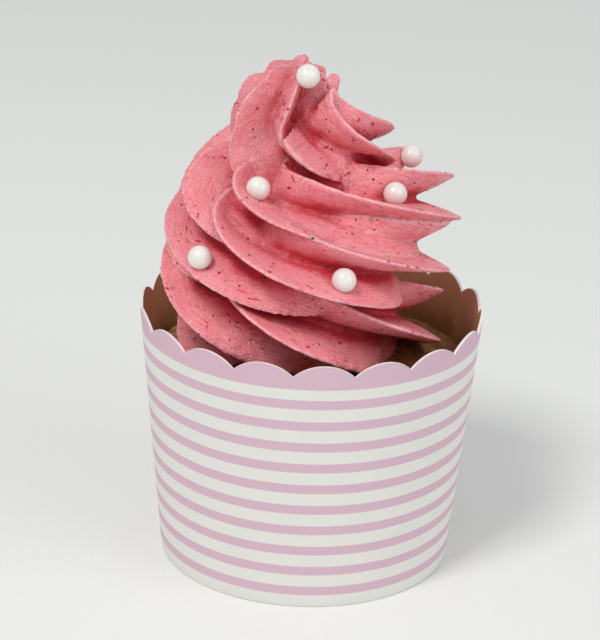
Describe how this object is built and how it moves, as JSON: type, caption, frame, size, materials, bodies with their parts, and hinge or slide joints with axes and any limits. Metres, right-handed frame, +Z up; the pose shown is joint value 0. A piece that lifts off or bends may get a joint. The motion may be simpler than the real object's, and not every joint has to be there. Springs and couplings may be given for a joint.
{
  "type": "cupcake",
  "caption": "Vanilla cupcake in a striped paper baking cup with a scalloped rim, topped with a tall piped swirl of pink berry buttercream and white sugar pearls.",
  "frame": {"origin": "centre of the underside of the paper cup, on the surface that it stands on", "axes": "+Z up through the swirl, the side shown in the picture faces -Y, +X to its right"},
  "size_m": [0.0586, 0.0586, 0.0889],
  "materials": {
    "paper": "printed stiff paper, off-white with lilac-pink stripes",
    "sponge": "golden brown baked crust",
    "buttercream": "satin pink buttercream with berry flecks",
    "sugar_pearl": "pearly white sugar shell"
  },
  "bodies": {
    "root": {"paper_cup": "paper", "cake": "sponge", "frosting": "buttercream", "pearl_top": "sugar_pearl", "pearl_upper_left": "sugar_pearl", "pearl_left": "sugar_pearl", "pearl_front": "sugar_pearl", "pearl_upper_right": "sugar_pearl", "pearl_right": "sugar_pearl", "pearl_back_low": "sugar_pearl", "pearl_back": "sugar_pearl", "pearl_back_left": "sugar_pearl"}
  },
  "joints": []
}
